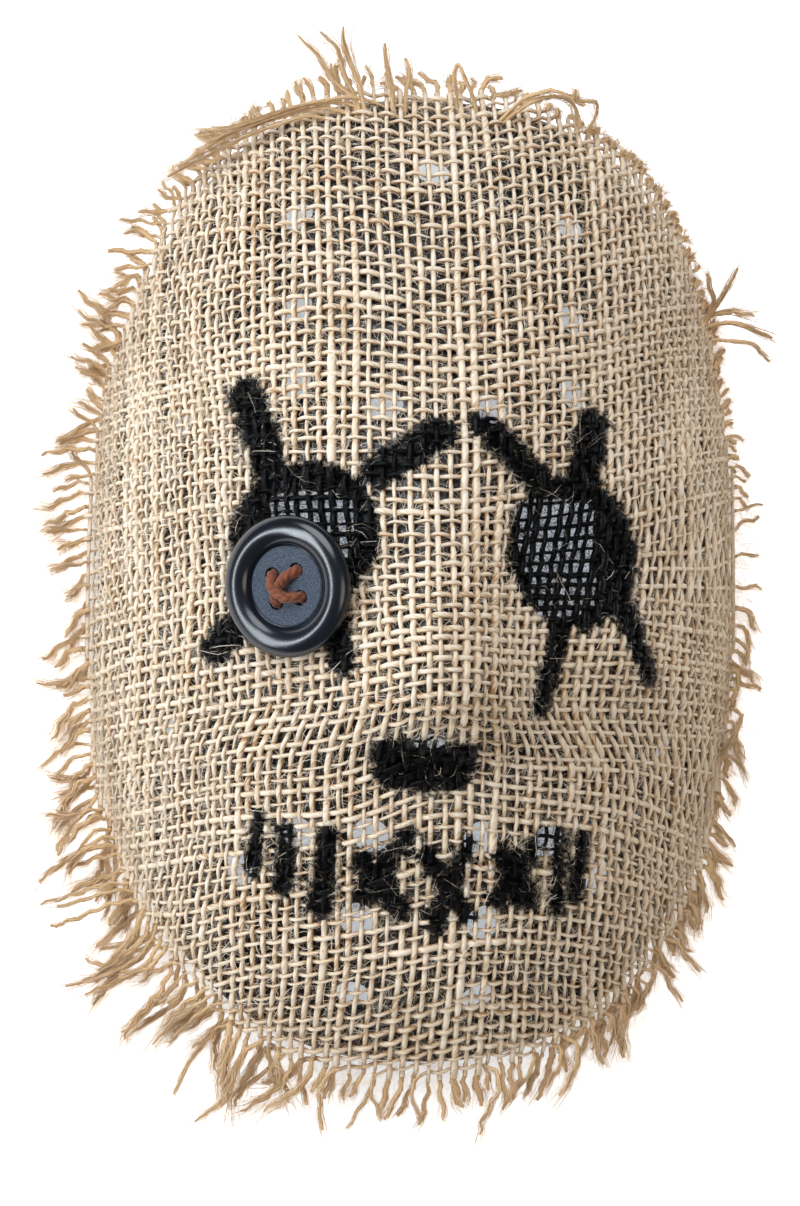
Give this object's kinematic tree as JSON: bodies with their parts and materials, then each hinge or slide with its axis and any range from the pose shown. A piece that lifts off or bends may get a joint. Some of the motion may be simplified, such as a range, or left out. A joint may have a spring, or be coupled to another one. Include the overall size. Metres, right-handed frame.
{
  "type": "rag doll horror mask",
  "caption": "Full-face costume mask: burlap with a frayed edge over a rigid vented shell, painted stitch marks and a coat button sewn over one eye.",
  "frame": {"origin": "middle of the mask's box, on the plane that the sides of the shell's rim rest on", "axes": "+Z out of the face, +Y to the top of the head, +X to the viewer's right, which is the mask's own left"},
  "size_m": [0.2076, 0.294, 0.0888],
  "materials": {
    "shell_plastic": "moulded black plastic with a slight sheen",
    "burlap": "coarse dry jute weave with black paint marks and frayed edges",
    "button_plastic": "polished rim and a finely speckled matt disc",
    "sewing_cord": "brown fibrous cord"
  },
  "bodies": {
    "root": {"face_shell": "shell_plastic", "burlap_cover": "burlap", "button": "button_plastic", "button_thread": "sewing_cord"}
  },
  "joints": []
}
